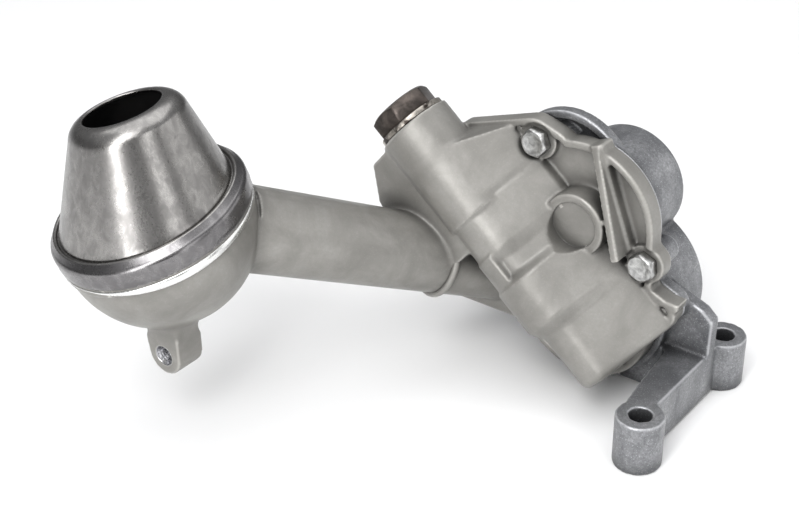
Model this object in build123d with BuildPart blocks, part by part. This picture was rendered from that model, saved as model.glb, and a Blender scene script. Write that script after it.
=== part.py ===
"""Engine oil pump: spur gear pump with a cast pickup pipe, a strainer bell and a relief valve.

Row frame, millimetres: the origin is midway between the two foot bolts on the mounting face,
+Z points away from that face, and +Y runs along the drive shaft from the cover to the casing.
"""
from build123d import *
import math
import os

# ------------------------------------------------------------------ driving dimensions
FOOT_PITCH = 66.5            # between the two M8 foot bolts, along Y
FOOT_HOLE_R = 4.5
FOOT_BOSS_R = 9.5
FOOT_BOSS_H = 21.6
ARM_RIGHT_X = 2.3            # outer face of the arm that joins the feet
ARM_BASE_Z = 1.0             # the arm stands clear of the mounting face

JOINT_Y = 8.75               # plane where cover and casing meet
DRIVE_X, DRIVE_Z = -50.0, 74.0
TILT = 40.0                  # slope of the relief valve axis below the horizontal

TEETH = 10                   # both gears
MODULE = 3.3
PRESSURE_ANGLE = 25.0
TOOTH_THINNING = 0.15        # off each flank, for backlash
GEAR_WIDTH = 24.0
AXIAL_PLAY = 0.1
CHAMBER_GAP = 0.25           # tooth tip to chamber wall

SHAFT_R = 6.0
RUNNING_GAP = 0.04           # radial, shaft or pin in its bush
BUSH_WALL = 2.0
BUSH_LENGTH = 9.0
SHAFT_TAIL = 12.0            # beyond the casing's rear face
TAIL_SEAT_R, TAIL_SEAT_L = 5.5, 8.0    # sprocket seat at the end of the tail

FLANGE_T = 8.0               # joint flange of the cover
CASING_FLANGE_T = 5.5
COVER_FLOOR = 4.0            # cover plate between its rim and ribs
RIM_WIDTH = 3.0
CASING_DEPTH = 33.0
DRIVE_RIM_R = 31.5           # cover's edge round the drive shaft
BARREL_R = 23.5              # casing's body round each gear
BULGE_X, BULGE_Z, BULGE_R = -47.0, 33.0, 32.9      # casing's body over the outlet chamber
COVER_BULGE_R = 30.5
OUTLET_R = 8.0
OUTLET_WALL = 1.2
OUTLET_Y = 27.5

RELIEF_V, RELIEF_W = -27.0, 20.0   # relief valve axis, from the drive shaft axis
RELIEF_END = 55.0
BOSS_END = -70.0
VALVE_BORE_R = 8.0
PISTON_LENGTH = 18.0
PISTON_TRAVEL = 9.0
SEAT_U = -12.0
GALLERY_R = 5.0
PLUG_THREAD_R = 10.0
PLUG_THREAD_L = 13.0
PLUG_AF = 24.0
SEAL_T = 2.4

PIPE_ROOT = (-92.0, JOINT_Y, 34.0)
PIPE_ROOT_R, PIPE_END_R, PIPE_BORE_R = 15.0, 17.0, 11.5

PIPE_AIM = (-160.8, -113.0, 89.5)      # a point on the pipe's axis, above the bowl's middle

BELL_CENTRE = (-164.6, -113.25, 85.5)  # centre of the bell's lower edge
BELL_AXIS = (-0.178, -0.264, 0.948)
BELL_R = 39.6
SEAM_R, SEAM_H = 34.2, 10.9            # where the cone stands on the flange's bead
MOUTH_CENTRE = (-168.2, -120.0, 134.4)
MOUTH_AXIS = (-0.249, -0.121, 0.961)
MOUTH_R = 15.1
LIP_R = 7.5                            # rounded lip from the mouth to the cone
LIP_TURN = 71.0                        # degrees the lip turns through before the cone begins
SHEET = 1.2
BOWL_R = 37.6
BOWL_CENTRE_H = -2.4                   # the bowl's ball centre, from the bell's lower edge
BOWL_WALL = 3.5
BOWL_STEPS = 6

LUG_X, LUG_Y, LUG_Z = -155.4, -125.2, 36.0
LUG_HOLE_R = 3.4

BOLT_R = 3.0
BOLT_HEAD_AF = 10.0
BOLT_HEAD_H = 4.0
BOLT_SEAT_W = 7.0
BOLT_REACH = 16.0
BOLT_BOSS_R = 5.4

# ------------------------------------------------------------------ derived sizes and planes
PITCH_R = MODULE * TEETH / 2
TIP_R = PITCH_R + MODULE
ROOT_R = PITCH_R - 1.25 * MODULE
CENTRES = 2 * PITCH_R
CHAMBER_R = TIP_R + CHAMBER_GAP
CHAMBER_DEPTH = GEAR_WIDTH + 2 * AXIAL_PLAY
BUSH_R = SHAFT_R + BUSH_WALL

TO_COVER = Vector(0, -1, 0)
TO_CASING = Vector(0, 1, 0)
U_DIR = Vector(math.cos(math.radians(TILT)), 0, -math.sin(math.radians(TILT)))
V_DIR = Vector(math.sin(math.radians(TILT)), 0, math.cos(math.radians(TILT)))

# JOINT sketches hold X and Z. FACE sketches hold u and v about the drive shaft axis, tilted so
# that u runs along the relief valve. On both, a positive offset goes into the cover.
JOINT = Plane(origin=(0, JOINT_Y, 0), x_dir=(1, 0, 0), z_dir=TO_COVER)
FACE = Plane(origin=(DRIVE_X, JOINT_Y, DRIVE_Z), x_dir=U_DIR, z_dir=TO_COVER)
RELIEF = Plane(origin=FACE.from_local_coords((0, RELIEF_V, RELIEF_W)), x_dir=V_DIR, z_dir=U_DIR)
BELL = Plane(origin=BELL_CENTRE, x_dir=(1, 0, 0), z_dir=BELL_AXIS)
BELL_SECTION = Plane(origin=BELL.origin, x_dir=BELL.x_dir, z_dir=-BELL.y_dir)
BELL_LINE = Axis(BELL.origin, BELL.z_dir)
MOUTH = Plane(origin=MOUTH_CENTRE, x_dir=(1, 0, 0), z_dir=MOUTH_AXIS)
MOUTH_SECTION = Plane(origin=MOUTH.origin, x_dir=MOUTH.x_dir, z_dir=-MOUTH.y_dir)
MOUTH_LINE = Axis(MOUTH.origin, MOUTH.z_dir)
PIPE_RUN = Vector(*PIPE_AIM) - Vector(*PIPE_ROOT)
PIPE_DIR = PIPE_RUN.normalized()
PIPE_LENGTH = PIPE_RUN.length
PIPE = Plane(origin=PIPE_ROOT, x_dir=(0, 0, 1), z_dir=PIPE_DIR)

BOLTS_UV = ((-33.1, 7.0), (29.7, 9.4))
BOLTS_XZ = ((-42.0, 7.5),)
REAR_BOLTS = ((-105.0, 59.0), (-107.5, 23.0))      # these two go in from the casing's side
REAR_SEAT = 24.0
REAR_THREAD = 7.0
DOWELS_XZ = ((-98.0, 86.0), (-17.5, 44.0))
DOWEL_IN_COVER, DOWEL_IN_CASING = 2.2, 7.5


def face_to_xz(u, v):
    """X and Z of a point given by u and v about the drive shaft."""
    point = FACE.from_local_coords((u, v, 0))
    return point.X, point.Z


BOLTS = tuple(face_to_xz(*uv) for uv in BOLTS_UV) + BOLTS_XZ


# ------------------------------------------------------------------ profile helpers
def hull_of_circles(plane, circles, inset=0.0):
    """Rounded outline wrapped round circles given as (x, y, radius)."""
    with BuildSketch(plane) as outline:
        for x, y, radius in circles:
            with Locations((x, y)):
                Circle(radius - inset)
        make_hull()
    return outline.sketch


def disc(plane, radius, at=(0, 0)):
    with BuildSketch(plane) as profile:
        with Locations(at):
            Circle(radius)
    return profile.sketch


def rod(plane, radius, length, at=(0, 0), mode=Mode.ADD):
    """Round bar or hole from a plane, along its normal."""
    extrude(disc(plane, radius, at), amount=length, dir=plane.z_dir, mode=mode)


def hex_head(plane, across_flats, height, at=(0, 0)):
    with BuildSketch(plane) as profile:
        with Locations(at):
            RegularPolygon(across_flats / 2, 6, major_radius=False)
    extrude(profile.sketch, amount=height, dir=plane.z_dir)


def fin(start, end, start_w, end_w, thickness, foot_w=0.0):
    """Straight casting rib on the cover, its top sloping from start_w to end_w."""
    near = FACE.from_local_coords((*start, 0))
    far = FACE.from_local_coords((*end, 0))
    run = far - near
    side = run.normalized().cross(TO_COVER)
    plane = Plane(origin=near - side * (thickness / 2), x_dir=run, z_dir=side)
    with BuildSketch(plane) as profile:
        Polygon((0, foot_w), (run.length, foot_w), (run.length, end_w), (0, start_w), align=None)
    extrude(profile.sketch, amount=thickness, dir=side)


def involute_angle(radius, base_r):
    angle = math.acos(min(1.0, base_r / radius))
    return math.tan(angle) - angle


def gear_outline(plane, centre, first_tooth):
    """Involute spur gear profile with one tooth pointing along first_tooth degrees."""
    base_r = PITCH_R * math.cos(math.radians(PRESSURE_ANGLE))
    half_tooth = math.pi / (2 * TEETH) - TOOTH_THINNING / PITCH_R
    start = half_tooth + involute_angle(PITCH_R, base_r)
    flank = []
    for step in range(5):
        radius = base_r + (TIP_R - base_r) * step / 4
        angle = start - involute_angle(radius, base_r)
        flank.append((radius * math.cos(angle), radius * math.sin(angle)))
    inner = ROOT_R - 1.0
    foot = (inner * math.cos(start), inner * math.sin(start))
    mirrored = [(x, -y) for x, y in flank]
    with BuildSketch() as tooth:
        with BuildLine():
            Line((foot[0], -foot[1]), foot)
            Line(foot, flank[0])
            Spline(*flank)
            ThreePointArc(flank[-1], (TIP_R, 0), mirrored[-1])
            Spline(*mirrored)
            Line(mirrored[0], (foot[0], -foot[1]))
        make_face()
    with BuildSketch(plane) as outline:
        with Locations(centre):
            Circle(ROOT_R)
            with PolarLocations(0, TEETH, start_angle=first_tooth):
                add(tooth.sketch)
    return outline.sketch


# ------------------------------------------------------------------ shared outlines
# Each flange outline is a set of groups of circles, as X, Z and radius, wrapped group by group.
LEFT_CORNERS = ((-109.5, 21.8, 5.5), (-80.0, 25.5, 9.0))
COVER_TOP = (-72.3, 98.6, 10.8)
FLANGE_FOOT = ((LEFT_CORNERS[-1], (-62.0, 30.0, 14.0)), ((-13.0, 43.5, 6.5), (-30.0, 45.0, 12.0)))
COVER_OUTLINE = (
    (COVER_TOP, (-103.0, 92.5, 6.5), *LEFT_CORNERS),
    (COVER_TOP, (-65.0, 96.2, 11.0), (-57.0, 92.0, 10.5)),
    ((DRIVE_X, DRIVE_Z, DRIVE_RIM_R), (BULGE_X, BULGE_Z, COVER_BULGE_R)),
    *FLANGE_FOOT,
)
CASING_OUTLINE = (
    ((-84.0, 88.0, 9.0), (-103.0, 87.5, 6.5), *LEFT_CORNERS),
    ((-61.0, 85.7, 26.7), (DRIVE_X, DRIVE_Z, BARREL_R + 2.5)),
    ((DRIVE_X, DRIVE_Z, BARREL_R + 2.5), (BULGE_X, BULGE_Z, BULGE_R)),
    *FLANGE_FOOT,
)


def pump_flange(plane, groups, inset=0.0):
    """Joint flange of the cover or the casing, or the same outline set in from its edge."""
    with BuildSketch() as outline:
        for group in groups:
            add(hull_of_circles(Plane.XY, group, inset))
    return plane * outline.sketch


def gear_chambers(plane, radius):
    """Both gear circles, joined at their waist."""
    with BuildSketch(plane) as outline:
        with Locations((0, 0), (0, -CENTRES)):
            Circle(radius)
    return outline.sketch


def outlet_chamber(plane):
    """Pressure side: the bulge's hollow, kept off the gear chamber walls except at the mesh."""
    bulge_u, bulge_v = 28.7, -29.4
    with BuildSketch(plane) as outline:
        with Locations((bulge_u, bulge_v)):
            Circle(BULGE_R - 7.0)
        with Locations((0, 0), (0, -CENTRES)):
            Circle(CHAMBER_R + 3.0, mode=Mode.SUBTRACT)
        with Locations((16, -CENTRES / 2)):
            Rectangle(20, 13)
    return outline.sketch


def inlet_chamber(plane):
    """Suction side: from the pickup pipe's root round the driven gear to the mesh."""
    with BuildSketch(plane) as outline:
        with Locations((0, -CENTRES)):
            Circle(CHAMBER_R + 9.0)
            Circle(CHAMBER_R + 3.0, mode=Mode.SUBTRACT)
        Polygon((-8, -60), (0, -CENTRES), (-14, 0), (-60, 0), (-60, -90), (-8, -90),
                align=None, mode=Mode.INTERSECT)
        with Locations((-6.5, -57.6)):
            Circle(PIPE_BORE_R)
        with Locations((-16, -CENTRES / 2)):
            Rectangle(20, 13)
    return outline.sketch


# ------------------------------------------------------------------ pump casing
def arm_outline(plane):
    with BuildSketch(plane) as outline:
        with BuildLine():
            FilletPolyline(
                (ARM_RIGHT_X, -30), (ARM_RIGHT_X, 31), (-8, 34), (-34, 38), (-34, JOINT_Y + 1),
                (-13.2, JOINT_Y + 1), (-10.6, -16), (-8.5, -31), close=True, radius=2.5)
        make_face()
    return outline.sketch


with BuildPart() as pump_casing:
    # joint flange with the hump above the drive shaft, and the body behind it
    extrude(pump_flange(JOINT, CASING_OUTLINE), amount=CASING_FLANGE_T, dir=TO_CASING)
    with Locations(Plane(origin=FACE.origin, x_dir=(1, 0, 0), z_dir=TO_CASING)):
        Cone(DRIVE_RIM_R, BARREL_R, 10.0, align=(Align.CENTER, Align.CENTER, Align.MIN))
    extrude(hull_of_circles(FACE, ((0, 0, BARREL_R), (0, -CENTRES, BARREL_R))),
            amount=CASING_DEPTH, dir=TO_CASING)
    extrude(disc(JOINT, BULGE_R, (BULGE_X, BULGE_Z)), amount=CASING_DEPTH, dir=TO_CASING)
    extrude(hull_of_circles(JOINT, ((-96.0, 31.0, 14.5), (-97.0, 66.0, 10.0), (-84.0, 78.0, 9.0))),
            amount=24.0, dir=TO_CASING)
    chamfer(pump_casing.faces().sort_by(Axis.Y)[-1].edges(), 1.2)
    rod(FACE.offset(-CASING_DEPTH - 3.5), 13.0, 6.0)
    for x, z in BOLTS:
        rod(JOINT.offset(-10.5), BOLT_BOSS_R, 10.5, (x, z))
    for x, z in REAR_BOLTS:
        rod(JOINT.offset(-REAR_SEAT), 6.6, REAR_SEAT, (x, z))
    # feet, the arm between them and the upright web that ties the arm to the body
    with BuildSketch(Plane.XY) as feet:
        with Locations((0, -FOOT_PITCH / 2), (0, FOOT_PITCH / 2)):
            Circle(FOOT_BOSS_R)
    extrude(amount=FOOT_BOSS_H)
    extrude(arm_outline(Plane.XY.offset(ARM_BASE_Z)), amount=FOOT_BOSS_H - ARM_BASE_Z)
    with BuildSketch(Plane(origin=(0, 20, 0), x_dir=(1, 0, 0), z_dir=TO_COVER)) as web:
        with BuildLine():
            FilletPolyline((-40, 2), (2.3, 2), (3.5, 38), (-1, 42), (-16, 48), (-40, 50),
                           close=True, radius=1.5)
        make_face()
    extrude(amount=6.0)
    # outlet pad on the mounting face
    extrude(hull_of_circles(Plane.XY, ((-55, OUTLET_Y, 12), (-39, OUTLET_Y, 12))), amount=6.0)
    # gear chambers, passages and bores
    extrude(gear_chambers(FACE, CHAMBER_R), amount=CHAMBER_DEPTH, dir=TO_CASING,
            mode=Mode.SUBTRACT)
    extrude(outlet_chamber(FACE), amount=CHAMBER_DEPTH, dir=TO_CASING, mode=Mode.SUBTRACT)
    extrude(inlet_chamber(FACE), amount=18.0, dir=TO_CASING, mode=Mode.SUBTRACT)
    rod(Plane.XY, OUTLET_R + OUTLET_WALL, 14.0, (BULGE_X, OUTLET_Y), Mode.SUBTRACT)
    rod(FACE.offset(-CHAMBER_DEPTH - BUSH_LENGTH - 0.4), BUSH_R, 12.0, mode=Mode.SUBTRACT)
    rod(FACE.offset(-CASING_DEPTH - 4), SHAFT_R + 0.6, 12.0, mode=Mode.SUBTRACT)
    rod(FACE.offset(-CHAMBER_DEPTH - 6.5), SHAFT_R, 8.0, (0, -CENTRES), Mode.SUBTRACT)
    for y in (-FOOT_PITCH / 2, FOOT_PITCH / 2):
        rod(Plane.XY, FOOT_HOLE_R, FOOT_BOSS_H + 1, (0, y), Mode.SUBTRACT)
    for x, z in BOLTS:
        rod(JOINT.offset(-BOLT_REACH + BOLT_SEAT_W), BOLT_R, 20.0, (x, z), Mode.SUBTRACT)
    for x, z in REAR_BOLTS:
        rod(JOINT.offset(-REAR_SEAT - 1), BOLT_R + 0.3, REAR_SEAT + 2, (x, z), Mode.SUBTRACT)
    for x, z in DOWELS_XZ:
        rod(JOINT.offset(-DOWEL_IN_CASING - 0.3), BOLT_R, DOWEL_IN_CASING + 1, (x, z), Mode.SUBTRACT)
pump_casing.part.label = "pump_casing"


# ------------------------------------------------------------------ pump cover
# Relief valve housing: round at the plug end, with a neck, a larger ring and a ramp at its end.
RELIEF_STATIONS = ((-56.0, 15.5), (-30.0, 15.5), (-28.5, 14.0), (-27.0, 14.5), (-9.5, 14.5),
                   (-5.5, 12.5), (1.5, 12.5), (4.5, 16.2), (24.0, 16.2), (29.0, 12.5),
                   (RELIEF_END, 12.5))
LOWER_START, LOWER_END, LOWER_R = -10.0, 13.0, 15.2      # the neck leaves the lower side whole
LOWER_SIDE = 1.9


def relief_section(u, radius):
    """Round above the plate, with a foot on it that slopes out to the rim on the far side."""
    foot = COVER_FLOOR - RELIEF_W
    with BuildSketch(RELIEF.offset(u)) as outline:
        Circle(radius)
        with Locations((-7, foot), (24, foot + 2)):
            Rectangle(10, 4)
        make_hull()
    return outline.sketch


with BuildPart() as relief_footprint:
    extrude(pump_flange(JOINT, COVER_OUTLINE, 2.0), amount=50.0, dir=TO_COVER)
    with BuildSketch(FACE) as overhang:
        Polygon((20, -45), (20, 8), (RELIEF_END, 8), (RELIEF_END, -45), align=None)
    extrude(overhang.sketch, amount=50.0, dir=TO_COVER)

with BuildPart() as relief_housing:
    for near, far in zip(RELIEF_STATIONS, RELIEF_STATIONS[1:]):
        if near[1] == far[1]:
            extrude(relief_section(*near), amount=far[0] - near[0], dir=U_DIR)
        else:
            loft([relief_section(*near), relief_section(*far)], ruled=True)
    with BuildSketch(RELIEF.offset(LOWER_START)) as lower_side:
        Circle(LOWER_R)
        with Locations((-LOWER_R, 0)):
            Rectangle(2 * LOWER_R, RELIEF_W - COVER_FLOOR + 1, align=(Align.MIN, Align.MAX))
        with Locations((LOWER_SIDE, 0)):
            Rectangle(80, 80, align=(Align.MAX, Align.CENTER), mode=Mode.INTERSECT)
    extrude(lower_side.sketch, amount=LOWER_END - LOWER_START, dir=U_DIR)
    end_edges = relief_housing.faces().sort_by(Axis(RELIEF.origin, U_DIR))[-1].edges()
    fillet(end_edges.filter_by(lambda edge: edge.center().Y < JOINT_Y - COVER_FLOOR - 4.5), 3.5)
    add(relief_footprint.part, mode=Mode.INTERSECT)


def bowl_outside():
    """Half section of the bowl's ball, cut off level with the bell's lower edge."""
    with BuildSketch(BELL_SECTION) as profile:
        with Locations((0, BOWL_CENTRE_H)):
            Circle(BOWL_R)
        Rectangle(60, 100, align=(Align.MIN, Align.MAX), mode=Mode.INTERSECT)
    return profile.sketch


def bowl_hollow():
    """Half section of the bowl's inside, turned in straight steps of slope."""
    radius = BOWL_R - BOWL_WALL
    points = [(0, 8.0), (radius, 8.0)]
    for step in range(BOWL_STEPS + 1):
        angle = math.radians(90 * step / BOWL_STEPS)
        points.append((radius * math.cos(angle), BOWL_CENTRE_H - radius * math.sin(angle)))
    with BuildSketch(BELL_SECTION) as profile:
        Polygon(*points, align=None)
    return profile.sketch


with BuildPart() as pump_cover:
    # plate with a rim, its floor sunk between the ribs
    extrude(pump_flange(JOINT, COVER_OUTLINE), amount=FLANGE_T, dir=TO_COVER)
    extrude(pump_flange(JOINT.offset(COVER_FLOOR), COVER_OUTLINE, RIM_WIDTH),
            amount=FLANGE_T, dir=TO_COVER, mode=Mode.SUBTRACT)
    with BuildSketch(JOINT) as corner_pad:
        Polygon((-112, 18), (-76, 18), (-62, 32), (-80, 60), (-112, 50), align=None)
    extrude(amount=FLANGE_T)
    for x, z in BOLTS:
        rod(JOINT, 8.0, BOLT_SEAT_W, (x, z))
    # drive shaft boss and the ribs beside it
    rod(FACE, 13.0, 14.5, (1, 0))
    add(relief_housing.part)
    rod(RELIEF.offset(BOSS_END), 15.5, 44.0)
    rod(FACE.offset(11.5), 9.5, 12.0, (1, 0), Mode.SUBTRACT)
    fin((-17, 28), (22, 6.5), 9.0, 17.0, 3.4)
    fin((-16.4, 29.1), (22.6, 7.6), 8.5, 8.5, 3.4)
    fin((38, -1), (51, 8.5), 8.0, 8.0, 3.0)
    # web from the plug boss down to the pickup pipe
    with BuildSketch(FACE.offset(COVER_FLOOR)) as boss_web:
        Polygon((-68.5, -27), (-68.5, -47.5), (-56, -58), (-36, -62), (-16, -48), (-16, -27),
                align=None)
    extrude(amount=RELIEF_W + 12.5 - COVER_FLOOR)
    # pickup pipe and bowl
    with Locations(PIPE.offset(-12)):
        Cone(PIPE_ROOT_R, PIPE_END_R, PIPE_LENGTH - 20, align=(Align.CENTER, Align.CENTER, Align.MIN))
    revolve(bowl_outside(), axis=BELL_LINE)
    rod(BELL.offset(-2.6), BELL_R - 0.1, 2.6)
    rod(BELL, BELL_R - SHEET - 0.1, 3.0)
    # bracket lug under the bowl
    lug_plane = Plane(origin=(0, LUG_Y, 0), x_dir=(1, 0, 0), z_dir=TO_COVER)
    extrude(hull_of_circles(lug_plane, ((LUG_X, LUG_Z, 8.0), (LUG_X - 2, LUG_Z + 26, 10.0))),
            amount=13.0, dir=TO_CASING)
    # inside of the bowl and pipe, and the joint face
    revolve(bowl_hollow(), axis=BELL_LINE, mode=Mode.SUBTRACT)
    rod(PIPE.offset(-20), PIPE_BORE_R, PIPE_LENGTH - 10, mode=Mode.SUBTRACT)
    split(bisect_by=JOINT, keep=Keep.TOP)
    # bores
    rod(FACE, BUSH_R, BUSH_LENGTH + 0.5, mode=Mode.SUBTRACT)
    rod(RELIEF.offset(BOSS_END), PLUG_THREAD_R, PLUG_THREAD_L + 1, mode=Mode.SUBTRACT)
    rod(RELIEF.offset(BOSS_END), VALVE_BORE_R, SEAT_U - BOSS_END, mode=Mode.SUBTRACT)
    rod(RELIEF.offset(SEAT_U - 1), GALLERY_R, 45.0, mode=Mode.SUBTRACT)
    rod(FACE, GALLERY_R, RELIEF_W, (27, RELIEF_V), Mode.SUBTRACT)
    rod(FACE, 3.5, RELIEF_W, (-20, RELIEF_V + 2), Mode.SUBTRACT)
    for x, z in BOLTS:
        rod(JOINT, BOLT_R + 0.3, 30.0, (x, z), Mode.SUBTRACT)
        rod(JOINT.offset(BOLT_SEAT_W), 7.4, 30.0, (x, z), Mode.SUBTRACT)
    for x, z in REAR_BOLTS:
        rod(JOINT, BOLT_R, REAR_THREAD + 0.5, (x, z), Mode.SUBTRACT)
    for x, z in DOWELS_XZ:
        rod(JOINT, BOLT_R, DOWEL_IN_COVER + 0.3, (x, z), Mode.SUBTRACT)
    rod(Plane(origin=(LUG_X, LUG_Y, LUG_Z), z_dir=TO_CASING), LUG_HOLE_R, 14.0, mode=Mode.SUBTRACT)
pump_cover.part.label = "pump_cover"


# ------------------------------------------------------------------ gears, shaft and bushes
KEY_WIDTH, KEY_HEIGHT, KEY_LENGTH = 3.0, 3.0, 14.0


def key_slot(mode):
    """Parallel key between the drive shaft and its gear, on the +v side."""
    plane = FACE.offset(-(GEAR_WIDTH + KEY_LENGTH) / 2)
    with BuildSketch(plane) as slot:
        with Locations((0, SHAFT_R)):
            Rectangle(KEY_WIDTH, KEY_HEIGHT)
    extrude(slot.sketch, amount=KEY_LENGTH, dir=plane.z_dir, mode=mode)


with BuildPart() as drive_shaft:
    rod(FACE.offset(-CASING_DEPTH - SHAFT_TAIL), TAIL_SEAT_R, TAIL_SEAT_L)
    rod(FACE.offset(TAIL_SEAT_L - CASING_DEPTH - SHAFT_TAIL), SHAFT_R,
        CASING_DEPTH + SHAFT_TAIL - TAIL_SEAT_L + BUSH_LENGTH)
    rims = drive_shaft.edges().filter_by(GeomType.CIRCLE).sort_by(Axis.Y)
    chamfer((rims[0], rims[-1]), 0.6)
    rod(FACE.offset(-CASING_DEPTH - SHAFT_TAIL), 2.5, 11.0, mode=Mode.SUBTRACT)
    key_slot(Mode.SUBTRACT)
drive_shaft.part.label = "drive_shaft"

with BuildPart() as drive_key:
    key_slot(Mode.ADD)
drive_key.part.label = "drive_key"

with BuildPart() as drive_gear:
    extrude(gear_outline(FACE.offset(-AXIAL_PLAY), (0, 0), -90), amount=GEAR_WIDTH, dir=TO_CASING)
    rod(FACE.offset(-GEAR_WIDTH - 1), SHAFT_R, GEAR_WIDTH + 2, mode=Mode.SUBTRACT)
    key_slot(Mode.SUBTRACT)
drive_gear.part.label = "drive_gear"

with BuildPart() as driven_gear:
    extrude(gear_outline(FACE.offset(-AXIAL_PLAY), (0, -CENTRES), 90 + 180 / TEETH),
            amount=GEAR_WIDTH, dir=TO_CASING)
    rod(FACE.offset(-GEAR_WIDTH - 1), BUSH_R, GEAR_WIDTH + 2, (0, -CENTRES), Mode.SUBTRACT)
driven_gear.part.label = "driven_gear"


def plain_bush(plane, length, at=(0, 0)):
    rod(plane, BUSH_R, length, at)
    rod(plane.offset(-1), SHAFT_R + RUNNING_GAP, length + 2, at, Mode.SUBTRACT)


with BuildPart() as driven_gear_bush:
    plain_bush(FACE.offset(-GEAR_WIDTH - AXIAL_PLAY), GEAR_WIDTH, (0, -CENTRES))
driven_gear_bush.part.label = "driven_gear_bush"

with BuildPart() as casing_bush:
    plain_bush(FACE.offset(-CHAMBER_DEPTH - BUSH_LENGTH - 0.3), BUSH_LENGTH)
casing_bush.part.label = "casing_bush"

with BuildPart() as cover_bush:
    plain_bush(FACE.offset(0.3), BUSH_LENGTH)
cover_bush.part.label = "cover_bush"

with BuildPart() as idler_pin:
    rod(FACE.offset(-CHAMBER_DEPTH - 6.5), SHAFT_R, CHAMBER_DEPTH + 6.0, (0, -CENTRES))
    chamfer(idler_pin.edges().filter_by(GeomType.CIRCLE), 0.5)
idler_pin.part.label = "idler_pin"

# ------------------------------------------------------------------ relief valve
CUP_WALL = 1.6
SPRING_WIRE = 1.5
SPRING_TURNS = 5
SPRING_R = 5.2
PIN_R = 3.2
PLUG_INNER_U = BOSS_END + PLUG_THREAD_L
CUP_FLOOR_U = SEAT_U - 3.5

with BuildPart() as relief_piston:
    rod(RELIEF.offset(SEAT_U - PISTON_LENGTH), VALVE_BORE_R - RUNNING_GAP, PISTON_LENGTH)
    chamfer(relief_piston.edges().sort_by(Axis(RELIEF.origin, U_DIR))[-1], 1.0)
    rod(RELIEF.offset(SEAT_U - PISTON_LENGTH - 1), VALVE_BORE_R - CUP_WALL,
        CUP_FLOOR_U - SEAT_U + PISTON_LENGTH + 1, mode=Mode.SUBTRACT)
relief_piston.part.label = "relief_piston"

with BuildPart() as relief_plug:
    rod(RELIEF.offset(BOSS_END), PLUG_THREAD_R, PLUG_THREAD_L)
    rod(RELIEF.offset(BOSS_END - SEAL_T - 1.0), PLUG_THREAD_R, SEAL_T + 2)
    hex_head(RELIEF.offset(BOSS_END - SEAL_T - 8.0), PLUG_AF, 8.0)
    rod(RELIEF.offset(PLUG_INNER_U - 5), PIN_R, 6.0, mode=Mode.SUBTRACT)
relief_plug.part.label = "relief_plug"

with BuildPart() as relief_plug_seal:
    rod(RELIEF.offset(BOSS_END - SEAL_T), 14.5, SEAL_T)
    rod(RELIEF.offset(BOSS_END - SEAL_T - 1), PLUG_THREAD_R, SEAL_T + 2, mode=Mode.SUBTRACT)
relief_plug_seal.part.label = "relief_plug_seal"

with BuildPart() as relief_guide_pin:
    rod(RELIEF.offset(PLUG_INNER_U - 5), PIN_R, CUP_FLOOR_U - PISTON_TRAVEL - 0.5 - PLUG_INNER_U + 5)
relief_guide_pin.part.label = "relief_guide_pin"

SPRING_LENGTH = CUP_FLOOR_U - PLUG_INNER_U - SPRING_WIRE - 0.4
SPRING_START = RELIEF.offset(PLUG_INNER_U + SPRING_WIRE / 2 + 0.2).origin
with BuildPart() as relief_spring:
    with BuildLine() as coil:
        Helix(pitch=SPRING_LENGTH / SPRING_TURNS, height=SPRING_LENGTH, radius=SPRING_R,
              center=SPRING_START, direction=U_DIR)
    with BuildSketch(Plane(origin=coil.line @ 0, z_dir=coil.line % 0)):
        Rectangle(SPRING_WIRE, SPRING_WIRE)
    sweep()
relief_spring.part.label = "relief_spring"


# ------------------------------------------------------------------ strainer bell
# Half section of the flange with its bead, from the lower edge in to the cone's foot.
BAND = ((BELL_R, 0), (BELL_R, 7.6), (BELL_R - 1.2, 10.2), (BELL_R - 3.2, SEAM_H + 0.3),
        (BELL_R - 4.3, SEAM_H - 0.4), (SEAM_R, SEAM_H))
BAND_INSIDE = ((BELL_R - SHEET, 0), (BELL_R - SHEET, 7.2), (SEAM_R - SHEET, SEAM_H - SHEET))
LIP_STEPS = 3


def lip_point(inset, turn):
    """Point on the lip, in half section about the mouth's axis, after turning through turn."""
    angle = math.radians(turn)
    radius = LIP_R - inset
    return MOUTH_R + radius * math.sin(angle), radius * math.cos(angle) - LIP_R


def flange_solid(points, below, mode=Mode.ADD):
    with BuildSketch(BELL_SECTION) as section:
        Polygon((0, below), (points[0][0], below), *points[1:], (0, points[-1][1]), align=None)
    revolve(section.sketch, axis=BELL_LINE, mode=mode)


def cone_solid(seam, lip_end, mode=Mode.ADD):
    """Skewed cone between the flange's circle and the lip's, which don't lie in parallel planes."""
    loft([disc(BELL.offset(seam[1]), seam[0]), disc(MOUTH.offset(lip_end[1]), lip_end[0])],
         ruled=True, mode=mode)


with BuildPart() as strainer_bell:
    flange_solid(BAND, 0)
    cone_solid(BAND[-1], lip_point(0, LIP_TURN))
    with BuildSketch(MOUTH_SECTION) as lip:
        with BuildLine():
            ThreePointArc(*(lip_point(0, turn) for turn in (0, LIP_TURN / 2, LIP_TURN)))
            Polyline(lip_point(0, LIP_TURN), (0, lip_point(0, LIP_TURN)[1]), (0, 0), (MOUTH_R, 0))
        make_face()
    revolve(axis=MOUTH_LINE)
    # the inside, one sheet's thickness in
    flange_solid(BAND_INSIDE, -1.0, Mode.SUBTRACT)
    cone_solid(BAND_INSIDE[-1], lip_point(SHEET, LIP_TURN), Mode.SUBTRACT)
    inner_lip = [lip_point(SHEET, LIP_TURN * step / LIP_STEPS) for step in range(LIP_STEPS + 1)]
    with BuildSketch(MOUTH_SECTION):
        Polygon(*inner_lip, (0, inner_lip[-1][1]), (0, -SHEET), align=None)
    revolve(axis=MOUTH_LINE, mode=Mode.SUBTRACT)
    rod(MOUTH.offset(-12), MOUTH_R, 20.0, mode=Mode.SUBTRACT)
strainer_bell.part.label = "strainer_bell"

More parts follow.
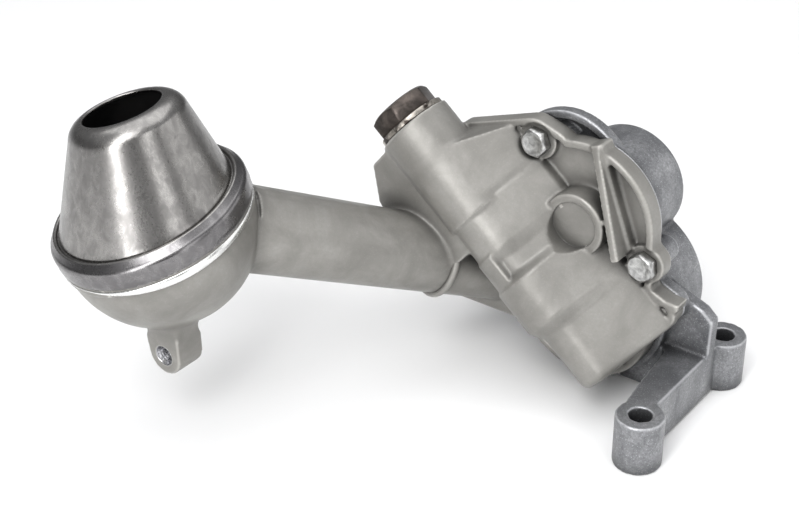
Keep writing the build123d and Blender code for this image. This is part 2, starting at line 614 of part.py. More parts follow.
SCREEN_R = BELL_R - SHEET - 0.4
with BuildPart() as strainer_screen:
    rod(BELL.offset(3.1), SCREEN_R, 0.8)
    with BuildSketch(BELL.offset(3.0)) as mesh_holes:
        with HexLocations(4.6, 7, 7):
            RegularPolygon(2.0, 6)
    extrude(amount=1.0, mode=Mode.SUBTRACT)
strainer_screen.part.label = "strainer_screen"

with BuildPart() as screen_ring:
    rod(BELL.offset(4.0), SCREEN_R, 1.6)
    rod(BELL.offset(3.0), 34.0, 4.0, mode=Mode.SUBTRACT)
screen_ring.part.label = "screen_ring"

# ------------------------------------------------------------------ outlet sleeve
with BuildPart() as outlet_sleeve:
    rod(Plane.XY.offset(0.5), OUTLET_R + OUTLET_WALL, 12.0, (BULGE_X, OUTLET_Y))
    rod(Plane.XY, OUTLET_R, 14.0, (BULGE_X, OUTLET_Y), Mode.SUBTRACT)
outlet_sleeve.part.label = "outlet_sleeve"

# ------------------------------------------------------------------ fasteners
with BuildPart() as cover_bolts:
    for x, z in BOLTS:
        rod(JOINT.offset(BOLT_SEAT_W - BOLT_REACH), BOLT_R, BOLT_REACH, (x, z))
        hex_head(JOINT.offset(BOLT_SEAT_W), BOLT_HEAD_AF, BOLT_HEAD_H, (x, z))
    for x, z in REAR_BOLTS:
        rod(JOINT.offset(-REAR_SEAT), BOLT_R, REAR_SEAT + REAR_THREAD, (x, z))
        hex_head(JOINT.offset(-REAR_SEAT - BOLT_HEAD_H), BOLT_HEAD_AF, BOLT_HEAD_H, (x, z))
cover_bolts.part.label = "cover_bolts"

with BuildPart() as dowel_pins:
    for x, z in DOWELS_XZ:
        rod(JOINT.offset(-DOWEL_IN_CASING), BOLT_R, DOWEL_IN_CASING + DOWEL_IN_COVER, (x, z))
dowel_pins.part.label = "dowel_pins"

# ------------------------------------------------------------------ export
PIECES = (
    pump_casing, pump_cover, drive_shaft, drive_key, drive_gear, driven_gear, driven_gear_bush,
    casing_bush, cover_bush, idler_pin, relief_piston, relief_plug, relief_plug_seal,
    relief_guide_pin, relief_spring, strainer_bell, strainer_screen, screen_ring, outlet_sleeve,
    cover_bolts, dowel_pins,
)

os.makedirs("parts", exist_ok=True)
for piece in PIECES:
    export_step(piece.part, f"parts/{piece.part.label}.step")
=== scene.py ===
import math

import bpy
import numpy as np
from mathutils import Matrix, Vector


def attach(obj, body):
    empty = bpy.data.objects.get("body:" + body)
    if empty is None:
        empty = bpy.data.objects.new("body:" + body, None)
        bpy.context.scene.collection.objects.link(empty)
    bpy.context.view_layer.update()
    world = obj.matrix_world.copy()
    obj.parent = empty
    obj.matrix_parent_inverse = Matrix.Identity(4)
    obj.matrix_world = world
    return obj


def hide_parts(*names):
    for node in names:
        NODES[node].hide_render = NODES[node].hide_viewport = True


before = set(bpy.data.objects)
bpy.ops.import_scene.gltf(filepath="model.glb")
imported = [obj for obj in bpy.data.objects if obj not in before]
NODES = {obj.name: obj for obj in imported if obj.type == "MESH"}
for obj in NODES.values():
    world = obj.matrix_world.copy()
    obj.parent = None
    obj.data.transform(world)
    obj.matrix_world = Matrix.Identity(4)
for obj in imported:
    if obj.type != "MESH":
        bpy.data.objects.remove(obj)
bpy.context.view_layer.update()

MM = 0.001
scene = bpy.context.scene

# ---------------------------------------------------------------- camera, at the photograph's angle
RIGHT = Vector((0.7932, 0.6087, -0.0158))
UP = Vector((-0.3050, 0.4199, 0.8548))
BACK = Vector((0.5269, -0.6732, 0.5188))
EYE = Vector((206.29, -440.75, 360.40)) * MM
LENS, SENSOR_W = 67.58, 36.0


def make_camera():
    data = bpy.data.cameras.new("camera")
    camera = bpy.data.objects.new("camera", data)
    scene.collection.objects.link(camera)
    data.lens = LENS
    data.sensor_width = SENSOR_W
    data.clip_start = 0.01
    turn = Matrix((RIGHT, UP, BACK)).transposed().to_4x4()
    camera.matrix_world = Matrix.Translation(EYE) @ turn
    scene.camera = camera


make_camera()


# ---------------------------------------------------------------- shader helpers
def new_material(name):
    mat = bpy.data.materials.new(name)
    mat.use_nodes = True
    tree = mat.node_tree
    tree.nodes.clear()
    out = tree.nodes.new("ShaderNodeOutputMaterial")
    bsdf = tree.nodes.new("ShaderNodeBsdfPrincipled")
    tree.links.new(bsdf.outputs[0], out.inputs[0])
    coords = tree.nodes.new("ShaderNodeTexCoord")
    return mat, tree, bsdf, coords.outputs["Object"]


def noise(tree, coords, scale, detail=4.0, rough=0.55, distort=0.0, stretch=None):
    """Noise of a given size: scale is in features per metre."""
    if stretch:
        mapping = tree.nodes.new("ShaderNodeMapping")
        mapping.inputs["Scale"].default_value = stretch
        tree.links.new(coords, mapping.inputs[0])
        coords = mapping.outputs[0]
    tex = tree.nodes.new("ShaderNodeTexNoise")
    tex.inputs["Scale"].default_value = scale
    tex.inputs["Detail"].default_value = detail
    tex.inputs["Roughness"].default_value = rough
    tex.inputs["Distortion"].default_value = distort
    tree.links.new(coords, tex.inputs["Vector"])
    return tex.outputs["Fac"]


def ramp(tree, value, stops):
    node = tree.nodes.new("ShaderNodeValToRGB")
    bar = node.color_ramp
    while len(bar.elements) < len(stops):
        bar.elements.new(0.5)
    for element, (at, colour) in zip(bar.elements, stops):
        element.position = at
        element.color = (*colour, 1.0)
    tree.links.new(value, node.inputs[0])
    return node.outputs[0]


def grey(value):
    return (value, value, value)


def mix(tree, fac, a, b, kind="MIX"):
    """Mix of two colours; fac, a and b are sockets or constants."""
    node = tree.nodes.new("ShaderNodeMix")
    node.data_type = "RGBA"
    node.blend_type = kind
    for socket, value in ((node.inputs[0], fac), (node.inputs[6], a), (node.inputs[7], b)):
        if isinstance(value, bpy.types.NodeSocket):
            tree.links.new(value, socket)
        elif isinstance(value, tuple):
            socket.default_value = (*value, 1.0)
        else:
            socket.default_value = value
    return node.outputs[2]


def remap(tree, value, lo, hi, to_lo, to_hi):
    node = tree.nodes.new("ShaderNodeMapRange")
    node.inputs[1].default_value = lo
    node.inputs[2].default_value = hi
    node.inputs[3].default_value = to_lo
    node.inputs[4].default_value = to_hi
    tree.links.new(value, node.inputs[0])
    return node.outputs[0]


def bump(tree, bsdf, height, strength, distance):
    node = tree.nodes.new("ShaderNodeBump")
    node.inputs["Strength"].default_value = strength
    node.inputs["Distance"].default_value = distance
    tree.links.new(height, node.inputs["Height"])
    previous = bsdf.inputs["Normal"].links
    if previous:
        tree.links.new(previous[0].from_socket, node.inputs["Normal"])
    tree.links.new(node.outputs[0], bsdf.inputs["Normal"])


def hollow(tree, distance):
    """1 in the open and towards 0 deep in a recess, felt over a distance in millimetres."""
    node = tree.nodes.new("ShaderNodeAmbientOcclusion")
    node.inputs["Distance"].default_value = distance * MM
    node.samples = 8
    return node.outputs["AO"]


def pointiness(tree):
    return tree.nodes.new("ShaderNodeNewGeometry").outputs["Pointiness"]


# ---------------------------------------------------------------- materials
EDGE_HIGHLIGHT_GAIN, CORNER_SHADE, SPECK_GAIN = 1.6, 0.5, 2.2      # painted highlight on edges, painted shade in corners, bright grains
RECESS_REACH = 9.0                                       # how far the painted shade of a recess reaches up its walls


def cast_metal(name, light, dark, metallic, roughness, grain, blotch, sparkle):
    """As-cast aluminium: fine sand grain, soft tonal patches, a painted highlight on edges and painted
    shade in corners and recesses.
    """
    mat, tree, bsdf, coords = new_material(name)
    patches = noise(tree, coords, 55.0, 4.0, 0.6, 0.4)
    fine = noise(tree, coords, 900.0, 3.0, 0.6)
    colour = mix(tree, ramp(tree, patches, ((0.35, grey(0.0)), (0.68, grey(1.0)))), dark, light)
    colour = mix(tree, remap(tree, fine, 0.3, 0.75, 0.0, blotch), colour, dark)
    edges = pointiness(tree)
    # painted highlight: convex edges lightened
    edge_highlight = ramp(tree, edges, ((0.515, grey(0.0)), (0.56, grey(1.0))))
    colour = mix(tree, edge_highlight, colour, tuple(min(1.0, c * EDGE_HIGHLIGHT_GAIN) for c in light))
    # painted shade: concave corners and creases darkened
    crease_shade = ramp(tree, edges, ((0.42, grey(1.0)), (0.49, grey(0.0))))
    colour = mix(tree, crease_shade, colour, tuple(c * CORNER_SHADE for c in dark))
    grains = noise(tree, coords, 1900.0, 2.0, 0.7)
    specks = ramp(tree, grains, ((0.60, grey(0.0)), (0.70, grey(sparkle))))
    colour = mix(tree, specks, colour, tuple(min(1.0, c * SPECK_GAIN) for c in light))
    # painted shade: darker deep in recesses
    shade = ramp(tree, hollow(tree, RECESS_REACH), ((0.3, grey(0.28)), (0.97, grey(1.0))))
    colour = mix(tree, 1.0, colour, shade, "MULTIPLY")
    tree.links.new(colour, bsdf.inputs["Base Color"])
    bsdf.inputs["Metallic"].default_value = metallic
    gloss = remap(tree, patches, 0.3, 0.7, roughness + 0.05, roughness - 0.05)
    tree.links.new(gloss, bsdf.inputs["Roughness"])
    bump(tree, bsdf, noise(tree, coords, 180.0, 3.0, 0.5), 0.35, 0.25 * MM)
    bump(tree, bsdf, noise(tree, coords, 1500.0, 2.0, 0.6), grain, 0.08 * MM)
    return mat


def steel(name, light, dark, roughness, size=120.0, grain=0.15, stretch=None, metallic=1.0,
          spread=0.13):
    """Bare or plated metal with handling marks in its gloss."""
    mat, tree, bsdf, coords = new_material(name)
    patches = noise(tree, coords, size, 5.0, 0.62, 0.6, stretch)
    fine = noise(tree, coords, 1400.0, 3.0, 0.65, 0.0, stretch)
    share = ramp(tree, patches, ((0.5 - spread, grey(0.0)), (0.5 + spread, grey(1.0))))
    colour = mix(tree, share, dark, light)
    tree.links.new(colour, bsdf.inputs["Base Color"])
    bsdf.inputs["Metallic"].default_value = metallic
    gloss = mix(tree, 0.45, patches, fine)
    gloss = remap(tree, gloss, 0.3, 0.7, roughness + 0.09, roughness - 0.07)
    tree.links.new(gloss, bsdf.inputs["Roughness"])
    bump(tree, bsdf, fine, grain, 0.05 * MM)
    return mat


COVER = cast_metal("cast_cover", (0.285, 0.277, 0.259), (0.195, 0.189, 0.175), 0.35, 0.40, 0.25, 0.35, 0.1)
CASING = cast_metal("cast_casing", (0.36, 0.364, 0.374), (0.132, 0.135, 0.143), 0.6, 0.38, 0.9, 0.9, 0.4)
BELL = steel("drawn_steel", (0.31, 0.302, 0.292), (0.215, 0.208, 0.203), 0.28, 260.0, 0.35, (1.0, 1.0, 0.6))
# the bell's band: the same drawn steel painted darker, as painted shade
BELL_BAND_SHADE = steel("drawn_band_painted_shade", (0.22, 0.214, 0.216), (0.16, 0.155, 0.158), 0.28, 200.0, 0.2)
RING = steel("machined_ring", (0.86, 0.86, 0.84), (0.74, 0.74, 0.73), 0.25)
ZINC = steel("zinc_plate", (0.55, 0.55, 0.54), (0.28, 0.28, 0.275), 0.33, 420.0, 0.5)
DARK = steel("dark_plug", (0.11, 0.092, 0.082), (0.045, 0.038, 0.034), 0.40, 160.0, 0.3, None, 0.8)
CHAMFER = steel("plug_chamfer", (0.34, 0.31, 0.28), (0.16, 0.14, 0.125), 0.35, 300.0, 0.3, None, 0.9)
WASHER = steel("washer", (0.42, 0.39, 0.35), (0.035, 0.028, 0.024), 0.35, 200.0, 0.3, None, 0.9, 0.07)
GROUND = steel("ground_steel", (0.52, 0.52, 0.53), (0.40, 0.40, 0.42), 0.25)
BRONZE = steel("bronze", (0.55, 0.37, 0.17), (0.40, 0.26, 0.12), 0.35)
MESH = steel("screen_mesh", (0.20, 0.20, 0.20), (0.12, 0.12, 0.12), 0.45)
# near-black painted shade for the inside of the bell and the screen ring within it
BELL_INSIDE_SHADE = steel("bell_inside_painted_shade", (0.012, 0.011, 0.011), (0.006, 0.006, 0.006), 0.6, 90.0, 0.1, None, 0.1)

NODE_LOOK = {
    "pump_casing": CASING, "pump_cover": COVER, "strainer_bell": BELL, "cover_bolts": ZINC,
    "relief_plug": DARK, "relief_plug_seal": WASHER, "strainer_screen": MESH, "screen_ring": BELL_INSIDE_SHADE,
    "driven_gear_bush": BRONZE, "casing_bush": BRONZE, "cover_bush": BRONZE,
}
for name, obj in NODES.items():
    obj.data.materials.clear()
    obj.data.materials.append(NODE_LOOK.get(name, GROUND))


# ---------------------------------------------------------------- mesh helpers
def add_piece(name, mesh, body, materials=(), replaces=()):
    obj = bpy.data.objects.new(name, mesh)
    scene.collection.objects.link(obj)
    for material in materials:
        mesh.materials.append(material)
    for poly in mesh.polygons:
        poly.use_smooth = True
    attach(obj, body)
    if replaces:
        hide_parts(*replaces)
    return obj


def neighbours_mean(edges, points, degree):
    total = np.zeros_like(points)
    np.add.at(total, edges[:, 0], points[edges[:, 1]])
    np.add.at(total, edges[:, 1], points[edges[:, 0]])
    return total / degree[:, None]


VOXEL, ROUNDS = 0.6, 3                        # size of the skin's mesh, and how far its edges are rounded
RELAX = [0.5, -0.52] * 6                      # smoothing that gives back what it shrinks


def cast_skin(node, reshape):
    """The node's solid with its edges and corners rounded as a casting's are, then reshaped."""
    copy = bpy.data.objects.new("tmp", NODES[node].data.copy())
    scene.collection.objects.link(copy)
    mod = copy.modifiers.new("remesh", "REMESH")
    mod.mode = "VOXEL"
    mod.voxel_size = VOXEL * MM
    graph = bpy.context.evaluated_depsgraph_get()
    mesh = bpy.data.meshes.new_from_object(copy.evaluated_get(graph))
    bpy.data.objects.remove(copy)
    count = len(mesh.vertices)
    points = np.empty(count * 3)
    mesh.vertices.foreach_get("co", points)
    points = points.reshape(-1, 3)
    edges = np.empty(len(mesh.edges) * 2, dtype=np.int64)
    mesh.edges.foreach_get("vertices", edges)
    edges = edges.reshape(-1, 2)
    degree = np.bincount(edges.ravel(), minlength=count).astype(float)

    def smooth(points, factors, share=1.0):
        for factor in factors:
            points = points + (neighbours_mean(edges, points, degree) - points) * factor * share
        return points

    points = smooth(points, [0.5] * ROUNDS + RELAX)
    points = reshape(points, smooth)
    mesh.vertices.foreach_set("co", points.ravel())
    mesh.materials.clear()
    mesh.update()
    return mesh


def skin_of_rings(rings, material_of=None, close=False):
    """Mesh through rings of points, each ring an array of the same count."""
    count = len(rings[0])
    verts = [tuple(p) for ring in rings for p in ring]
    faces = []
    last = len(rings) if close else len(rings) - 1
    for row in range(last):
        low, high = row * count, (row + 1) % len(rings) * count
        for step in range(count):
            nxt = (step + 1) % count
            faces.append((low + step, low + nxt, high + nxt, high + step))
    mesh = bpy.data.meshes.new("rings")
    mesh.from_pydata(verts, [], faces)
    if material_of:
        for poly in mesh.polygons:
            poly.material_index = material_of(poly.index // count)
    mesh.update()
    return mesh


class Frame:
    """A centre and an axis, with two directions across it, in metres."""

    def __init__(self, centre, axis, x_dir=(1, 0, 0)):
        self.centre = np.array(centre, dtype=float) * MM
        self.z = np.array(axis, dtype=float)
        self.z /= np.linalg.norm(self.z)
        self.x = np.array(x_dir, dtype=float)
        self.x -= self.z * self.x.dot(self.z)
        self.x /= np.linalg.norm(self.x)
        self.y = np.cross(self.z, self.x)

    def polar(self, points):
        """Distance from the axis, height along it and outward direction, for rows of points."""
        away = points - self.centre
        height = away @ self.z
        away = away - np.outer(height, self.z)
        radius = np.linalg.norm(away, axis=1)
        return radius, height, away / np.maximum(radius, 1e-9)[:, None]

    def ring(self, radius, height, count):
        """Circle, or any outline given by its radius at each angle, at a height on the axis."""
        turn = np.linspace(0.0, 2.0 * math.pi, count, endpoint=False)
        radii = np.broadcast_to(np.asarray(radius, dtype=float), turn.shape) * MM
        heights = np.broadcast_to(np.asarray(height, dtype=float), turn.shape) * MM
        across = np.outer(radii * np.cos(turn), self.x) + np.outer(radii * np.sin(turn), self.y)
        return self.centre + across + np.outer(heights, self.z)


def lathe(frame_at, profile, count):
    """Closed half section, as radius and height, turned about the frame's axis."""
    return skin_of_rings([frame_at.ring(r, h, count) for r, h in profile], close=True)


def arc(cx, cy, radius, start, end, steps):
    """Points of an arc in half section, angles in degrees from the outward direction."""
    turns = [math.radians(start + (end - start) * i / steps) for i in range(steps + 1)]
    return [(cx + radius * math.cos(t), cy + radius * math.sin(t)) for t in turns]


# ---------------------------------------------------------------- castings
BELL_AT = Frame((-164.6, -113.25, 85.5), (-0.178, -0.264, 0.948))
MOUTH_AT = Frame((-168.2, -120.0, 134.4), (-0.249, -0.121, 0.961))
LUG_AT = Frame((-155.4, -125.2, 36.0), (0, 1, 0))
BOWL_R, BOWL_H = 37.6, -2.4
RIM_SEAT_R, RIM_SEAT_END = 38.3, 41.0         # seat under the bright ring, and where its reach ends
RIM_SEAT_LOW, RIM_SEAT_TOP = -3.4, 0.4
LUG_MOUTH_R, LUG_BORE_DEPTH = 4.15, 12.5
JOINT_Y = 8.75
# fillet between the bowl and its lug: rounds of smoothing, and the box that it stays in
FILLET_ROUNDS = 70
FILLET_MID_X, FILLET_HALF_X, FILLET_FADE_X = -156.4, 13.0, 19.0
FILLET_LOW_Y, FILLET_HIGH_Y, FILLET_TOP_Z = -134.0, -104.0, 68.0
OFF_BALL, ABOVE_LUG = (2.5, 6.0), (4.0, 8.0)  # where it fades out off the bowl, and fades in over the lug
# hump on the casing: centre in X and Z and radius, then its hollow's depth, wall and back
HUMP = (-61.0, 85.7, 23.6)
HUMP_DEPTH, HUMP_WALL, HUMP_BACK_Y = 3.6, 1.2, 10.5
HUMP_FADE = (-1.6, -0.4)                      # where it fades in beside the cover's outline
# centre in X and Z, radius, and the heights off the joint face from and to which it is filled
FILLED = (
    ((-81.0, 101.6), 3.2, 3.5, 6.8), ((-12.3, 43.0), 2.6, 3.5, 6.8),
    ((-49.2, 73.4), 9.9, 11.0, 13.4),
)
# circles, as X, Z and radius, that the cover's outline is made of beside the hump
COVER_ROUNDS = ((-72.3, 98.6, 10.8), (-65.0, 96.2, 11.0), (-57.0, 92.0, 10.5), (-50.0, 74.0, 31.5))


def ease(value, low, high):
    """0 below low, 1 above high and smooth between."""
    t = np.clip((value - low) / (high - low), 0.0, 1.0)
    return t * t * (3.0 - 2.0 * t)


def shape_cover(points, smooth):
    # fillet between the bowl and its lug
    ball = BELL_AT.centre + BELL_AT.z * BOWL_H * MM
    off_ball = np.abs(np.linalg.norm(points - ball, axis=1) - BOWL_R * MM)
    above = points[:, 2] - LUG_AT.centre[2]
    near = 1.0 - ease(off_ball, OFF_BALL[0] * MM, OFF_BALL[1] * MM)
    near *= ease(above, ABOVE_LUG[0] * MM, ABOVE_LUG[1] * MM)
    beside = np.abs(points[:, 0] - FILLET_MID_X * MM)
    near *= 1.0 - ease(beside, FILLET_HALF_X * MM, FILLET_FADE_X * MM)
    near *= (points[:, 1] > FILLET_LOW_Y * MM) * (points[:, 1] < FILLET_HIGH_Y * MM)
    near *= points[:, 2] < FILLET_TOP_Z * MM
    points = smooth(points, [0.5] * FILLET_ROUNDS, near[:, None])
    # two pockets of the solid that the photograph doesn't show, and the dished end of the drive boss
    for (cx, cz), reach, low, floor in FILLED:
        inside = np.hypot(points[:, 0] / MM - cx, points[:, 2] / MM - cz) < reach
        height = JOINT_Y - points[:, 1] / MM
        inside &= (height > low) & (height < floor)
        points = points - np.outer((floor - height) * inside, (0.0, MM, 0.0))
    # seat under the bright ring, and the lug's tapped hole
    radius, height, out = BELL_AT.polar(points)
    ring = (height > RIM_SEAT_LOW * MM) & (height < RIM_SEAT_TOP * MM)
    ring &= (radius > RIM_SEAT_R * MM) & (radius < RIM_SEAT_END * MM)
    points = points - out * ((radius - RIM_SEAT_R * MM) * ring)[:, None]
    radius, height, out = LUG_AT.polar(points)
    bore = (height > -MM) & (height < LUG_BORE_DEPTH * MM) & (radius < LUG_MOUTH_R * MM)
    return points + out * ((LUG_MOUTH_R * MM - radius) * bore)[:, None]


def shape_casing(points, smooth):
    # the hump's front is hollow, with a thin edge standing round it
    x, y, z = points.T / MM
    inside = HUMP[2] - np.hypot(x - HUMP[0], z - HUMP[1])
    clear = np.min([np.hypot(x - cx, z - cz) - r for cx, cz, r in COVER_ROUNDS], axis=0)
    depth = HUMP_DEPTH * ease(inside, 0.0, HUMP_WALL) * ease(clear, *HUMP_FADE) * (y < HUMP_BACK_Y)
    return points + np.outer(depth, (0.0, MM, 0.0))


add_piece("cover_casting", cast_skin("pump_cover", shape_cover), "housing",
          (COVER,), ("pump_cover",))
add_piece("casing_casting", cast_skin("pump_casing", shape_casing), "housing",
          (CASING,), ("pump_casing",))


# ---------------------------------------------------------------- strainer bell
BELL_R, SEAM_R, SEAM_H = 39.1, 33.9, 10.9
MOUTH_R, LIP_R, LIP_TURN, SHEET = 15.1, 7.5, 71.0, 1.2
AROUND = 256


def between(start, end, steps):
    """Rings part of the way from one ring to another, ends left out."""
    return [start + (end - start) * i / (steps + 1) for i in range(1, steps + 1)]


def bell_mesh():
    """Pressed sheet: band, rolled bead and seam, cone, lip round the mouth, then the inside."""
    lip = [MOUTH_AT.ring(r, h, AROUND) for r, h in arc(MOUTH_R, -LIP_R, LIP_R, 90 - LIP_TURN, 90, 14)]
    side = [(BELL_R - 1.3, -0.1), (BELL_R - 0.7, 0.5), (BELL_R - 0.2, 1.6), (BELL_R, 3.0), (BELL_R, 6.6)]
    side += arc(BELL_R - 2.6, 6.9, 2.6, 5, 60, 6)
    bead = arc(BELL_R - 3.2, SEAM_H - 0.55, 0.95, 45, 150, 8)
    bead += arc(BELL_R - 4.45, SEAM_H - 0.35, 0.45, 330, 215, 5)
    bead += [(SEAM_R + 0.42, SEAM_H - 0.1), (SEAM_R + 0.12, SEAM_H + 0.45)]
    band = [BELL_AT.ring(r, h, AROUND) for r, h in side + bead]
    outer = band + between(band[-1], lip[0], 24) + lip
    inner_lip = [MOUTH_AT.ring(r, h, AROUND)
                 for r, h in arc(MOUTH_R, -LIP_R, LIP_R - SHEET, 90, 90 - LIP_TURN, 8)]
    inner_band = [BELL_AT.ring(r, h, AROUND) for r, h in
                  ((SEAM_R - SHEET, SEAM_H - SHEET), (BELL_R - SHEET, 7.2), (BELL_R - SHEET, 0.0))]
    # the inside rings take the near-black painted shade
    rings = outer + inner_lip + inner_band
    shown, side_rows = len(outer), len(side)
    # band rows take the darker painted-shade copy of the steel, bead and cone the lighter one
    return skin_of_rings(rings, lambda row: 2 if row < side_rows else 0 if row < shown else 1, True)


RIM_IN, RIM_OUT = 36.5, 38.75
CRESCENT_TURN, CRESCENT_HALF = math.radians(-26.0), 1.05       # where its middle is, and how far it runs
CRESCENT_EDGE, CRESCENT_DROP = 0.5, 2.7


def rim_mesh():
    """Machined edge of the bowl, which the bell's band leaves bare in a crescent."""
    turn = np.linspace(0.0, 2.0 * math.pi, AROUND, endpoint=False)
    away = (turn - CRESCENT_TURN + math.pi) % (2 * math.pi) - math.pi
    bare = np.cos(np.clip(away, -CRESCENT_HALF, CRESCENT_HALF) * 1.5)
    drop = CRESCENT_EDGE + CRESCENT_DROP * np.clip(bare, 0.0, 1.0)
    return lathe(BELL_AT, [
        (RIM_IN, -0.2), (RIM_OUT - 0.3, -0.2), (RIM_OUT, -0.5),
        (RIM_OUT - 0.1, -drop), (RIM_OUT - 0.5, -drop - 0.5), (RIM_IN, -drop - 0.6),
    ], AROUND)


add_piece("bell", bell_mesh(), "housing", (BELL, BELL_INSIDE_SHADE, BELL_BAND_SHADE), ("strainer_bell",))
add_piece("bowl_rim", rim_mesh(), "housing", (RING,))


# ---------------------------------------------------------------- bead where the pipe meets the cover
PIPE_ROOT, PIPE_AIM = np.array((-92.0, 8.75, 34.0)), np.array((-160.8, -113.0, 89.5))
COLLAR_AT, COLLAR_R, COLLAR_BEAD = 31.0, 15.9, 1.5
PIPE_RUN = PIPE_AIM - PIPE_ROOT
PIPE_AT = Frame(PIPE_ROOT + PIPE_RUN / np.linalg.norm(PIPE_RUN) * COLLAR_AT, PIPE_RUN, (0, 0, 1))
add_piece("pipe_collar", lathe(PIPE_AT, arc(COLLAR_R, 0.0, COLLAR_BEAD, 0, 345, 23), 144),
          "housing", (COVER,))


# ---------------------------------------------------------------- hexagons
CORNER_SHARE = 0.985                          # how much of a sharp corner's reach a head keeps


def hexagon(frame_at, across_flats, base, height, top_share, dish, count):
    """Rings of a hexagon head, with the curved edge that its 30 degree chamfer leaves on each flat."""
    flat = across_flats / 2.0
    turn = np.linspace(0.0, 2.0 * math.pi, count, endpoint=False)
    local = (turn + math.pi / 6) % (math.pi / 3) - math.pi / 6
    radius = flat / np.cos(local)
    radius = np.minimum(radius, flat / math.cos(math.pi / 6) * CORNER_SHARE)
    top_r = flat * top_share
    slope = math.tan(math.radians(30))
    shoulder = base + height - (radius - top_r) * slope
    low = np.minimum(base + 0.25, shoulder)
    top = base + height
    return [frame_at.ring(r, h, count) for r, h in (
        (radius - 0.25, base), (radius, low), (radius, shoulder - 0.12), (radius - 0.12, shoulder),
        (top_r + 0.12, top - 0.03), (top_r - 0.2, top), (top_r * 0.72, top - dish * 0.5),
        (top_r * 0.6, top - dish), (0.02, top - dish),
    )]


FACE_X, FACE_Z, TILT = -50.0, 74.0, math.radians(40)
U_DIR = np.array((math.cos(TILT), 0.0, -math.sin(TILT)))
V_DIR = np.array((math.sin(TILT), 0.0, math.cos(TILT)))


def face_point(u, v, w):
    """Point given along and across the relief valve from the drive shaft, w out from the joint."""
    point = np.array((FACE_X, JOINT_Y - w, FACE_Z)) + U_DIR * u + V_DIR * v
    return tuple(point)


BOLT_SEAT, REAR_SEAT, HEAD_H, HEAD_AF = 7.0, 24.0, 4.3, 10.5
BOLT_R, SHANK_END, FACE_R, FACE_H = 3.0, -15.5, 4.75, 0.3      # shank, and washer face under the head
BOLT_RINGS = 96
# where each head sits, which way it points, and how far it is turned in degrees
HEADS = [
    (face_point(-33.1, 7.0, BOLT_SEAT), (0, -1, 0), 22.0),
    (face_point(29.7, 9.4, BOLT_SEAT), (0, -1, 0), 8.0),
    ((-42.0, JOINT_Y - BOLT_SEAT, 7.5), (0, -1, 0), 40.0),
    ((-105.0, JOINT_Y + REAR_SEAT, 59.0), (0, 1, 0), 5.0),
    ((-107.5, JOINT_Y + REAR_SEAT, 23.0), (0, 1, 0), 31.0),
]


def bolts_mesh():
    """All five bolts in one mesh: shank, washer face and head."""
    verts, faces = [], []
    for at, axis, turn in HEADS:
        angle = math.radians(turn)
        across = (math.cos(angle), 0.0, math.sin(angle))
        bolt = Frame(at, axis, across)
        rings = [bolt.ring(r, h, BOLT_RINGS) for r, h in (
            (0.02, SHANK_END), (BOLT_R - 0.4, SHANK_END), (BOLT_R, SHANK_END + 0.5),
            (BOLT_R, 0.02), (FACE_R - 0.05, 0.02), (FACE_R, FACE_H),
        )]
        rings += hexagon(bolt, HEAD_AF, FACE_H, HEAD_H - FACE_H, 0.93, 0.35, BOLT_RINGS)
        mesh = skin_of_rings(rings)
        base = len(verts)
        verts += [tuple(v.co) for v in mesh.vertices]
        faces += [tuple(base + i for i in p.vertices) for p in mesh.polygons]
        bpy.data.meshes.remove(mesh)
    mesh = bpy.data.meshes.new("bolts")
    mesh.from_pydata(verts, [], faces)
    mesh.update()
    return mesh


add_piece("bolts", bolts_mesh(), "housing", (ZINC,), ("cover_bolts",))


# ---------------------------------------------------------------- relief plug, washer and lug thread
VALVE_V, VALVE_W, BOSS_END, WASHER_T = -27.0, 20.0, -70.0, 2.4
PLUG_AF, PLUG_H, PLUG_BODY_R, PLUG_RINGS = 24.0, 8.0, 9.95, 144
PIN_HOLE_R, PIN_HOLE_END = 3.2, -8.0
WASHER_IN, WASHER_OUT = 10.05, 14.0
PLUG_AT = Frame(face_point(BOSS_END, VALVE_V, VALVE_W), -U_DIR, (0, 1, 0))


def plug_mesh():
    """Plug from the hole for its guide pin, over its round body, to its head with a worn chamfer."""
    rings = [PLUG_AT.ring(r, h, PLUG_RINGS) for r, h in (
        (0.02, PIN_HOLE_END), (PIN_HOLE_R, PIN_HOLE_END), (PIN_HOLE_R, -12.6),
        (PLUG_BODY_R - 0.55, -12.9), (PLUG_BODY_R, -12.4), (PLUG_BODY_R, WASHER_T + 0.05),
    )]
    rings += hexagon(PLUG_AT, PLUG_AF, WASHER_T + 0.05, PLUG_H, 0.95, 0.5, PLUG_RINGS)
    chamfer_rows = (len(rings) - 6, len(rings) - 5, len(rings) - 4)
    return skin_of_rings(rings, lambda row: 1 if row in chamfer_rows else 0)


add_piece("plug", plug_mesh(), "housing", (DARK, CHAMFER), ("relief_plug",))
washer_rim = arc(WASHER_OUT, WASHER_T - 0.5, 0.45, 90, 0, 4) + arc(WASHER_OUT, 0.55, 0.5, 0, -90, 4)
washer_profile = [(WASHER_IN, WASHER_T - 0.05)] + washer_rim + [(WASHER_IN, 0.05)]
add_piece("plug_washer", lathe(PLUG_AT, washer_profile, PLUG_RINGS),
          "housing", (WASHER,), ("relief_plug_seal",))

THREAD_PITCH, THREADS = 1.25, 9
THREAD_IN, THREAD_OUT, THREAD_BACK, THREAD_START = 3.35, 3.95, 4.3, 0.7


def thread_profile():
    """Half section of a sleeve with a groove for each thread, open at its mouth."""
    rows = [(THREAD_BACK, 0.1), (LUG_MOUTH_R, 0.05)]
    for turn in range(THREADS):
        start = THREAD_START + turn * THREAD_PITCH
        rows += [(THREAD_OUT, start), (THREAD_OUT, start + 0.25)]
        rows += [(THREAD_IN, start + 0.7), (THREAD_IN, start + 0.85)]
    return rows + [(THREAD_BACK, LUG_BORE_DEPTH - 0.1)]


add_piece("lug_thread", lathe(LUG_AT, thread_profile(), 64), "housing", (GROUND,))


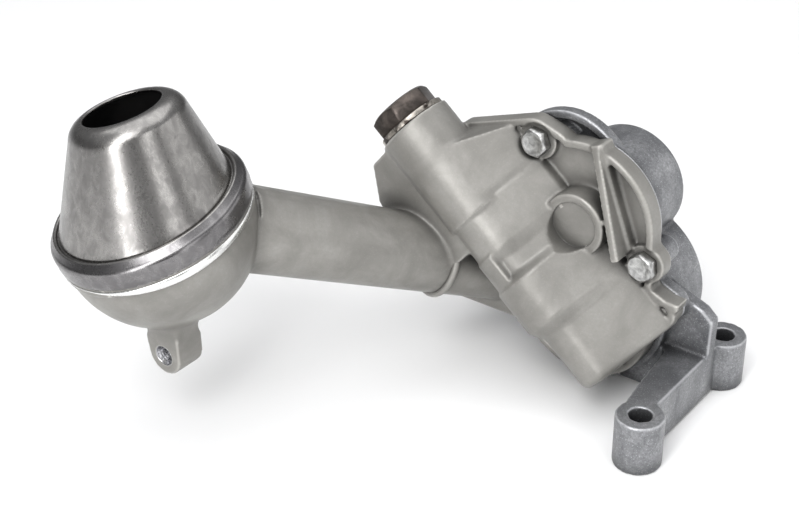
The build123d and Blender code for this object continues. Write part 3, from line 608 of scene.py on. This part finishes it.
# ---------------------------------------------------------------- floor and light
def make_stage():
    bpy.ops.mesh.primitive_plane_add(size=12.0, location=(0, 0, 0.0))
    floor = bpy.context.object
    floor.name = "floor"
    mat, tree, bsdf, coords = new_material("floor")
    tone = noise(tree, coords, 3.0, 2.0)
    tree.links.new(ramp(tree, tone, ((0.3, grey(0.86)), (0.7, grey(0.88)))), bsdf.inputs["Base Color"])
    bsdf.inputs["Roughness"].default_value = 0.9
    floor.data.materials.append(mat)


def area_light(name, where, aim, size, power, height=None):
    data = bpy.data.lights.new(name, "AREA")
    data.energy = power
    data.shape = "RECTANGLE"
    data.size = size
    data.size_y = height or size
    lamp = bpy.data.objects.new(name, data)
    scene.collection.objects.link(lamp)
    lamp.location = where
    lamp.rotation_mode = "QUATERNION"
    lamp.rotation_quaternion = (Vector(aim) - Vector(where)).to_track_quat("-Z", "Y")


make_stage()
CENTRE = (-0.08, -0.03, 0.06)
BELL_MID = (-0.166, -0.117, 0.15)
area_light("key", (-0.25, 0.05, 1.15), CENTRE, 1.4, 10.0)
area_light("front", (0.05, -0.90, 0.34), BELL_MID, 0.22, 4.0, 0.62)
area_light("front_top", (0.10, -0.75, 0.90), CENTRE, 0.5, 5.6)
area_light("right", (0.60, -0.31, 0.34), BELL_MID, 0.30, 1.25, 0.62)
area_light("side", (0.55, 0.44, 0.35), BELL_MID, 0.9, 2.0, 0.6)


WORLD_STRENGTH = 0.58


def make_world():
    """Bright overhead and dim near the horizon, as in a studio tent."""
    world = bpy.data.worlds.new("studio")
    scene.world = world
    world.use_nodes = True
    tree = world.node_tree
    back = tree.nodes["Background"]
    coords = tree.nodes.new("ShaderNodeTexCoord")
    split = tree.nodes.new("ShaderNodeSeparateXYZ")
    tree.links.new(coords.outputs["Generated"], split.inputs[0])
    stops = ((0.0, (0.26, 0.26, 0.265)), (0.25, (0.30, 0.30, 0.305)), (0.7, (0.8, 0.81, 0.83)))
    tone = ramp(tree, split.outputs["Z"], stops)
    tree.links.new(tone, back.inputs[0])
    back.inputs[1].default_value = WORLD_STRENGTH


make_world()
scene.view_settings.view_transform = "Standard"
scene.view_settings.look = "None"
scene.cycles.use_denoising = True
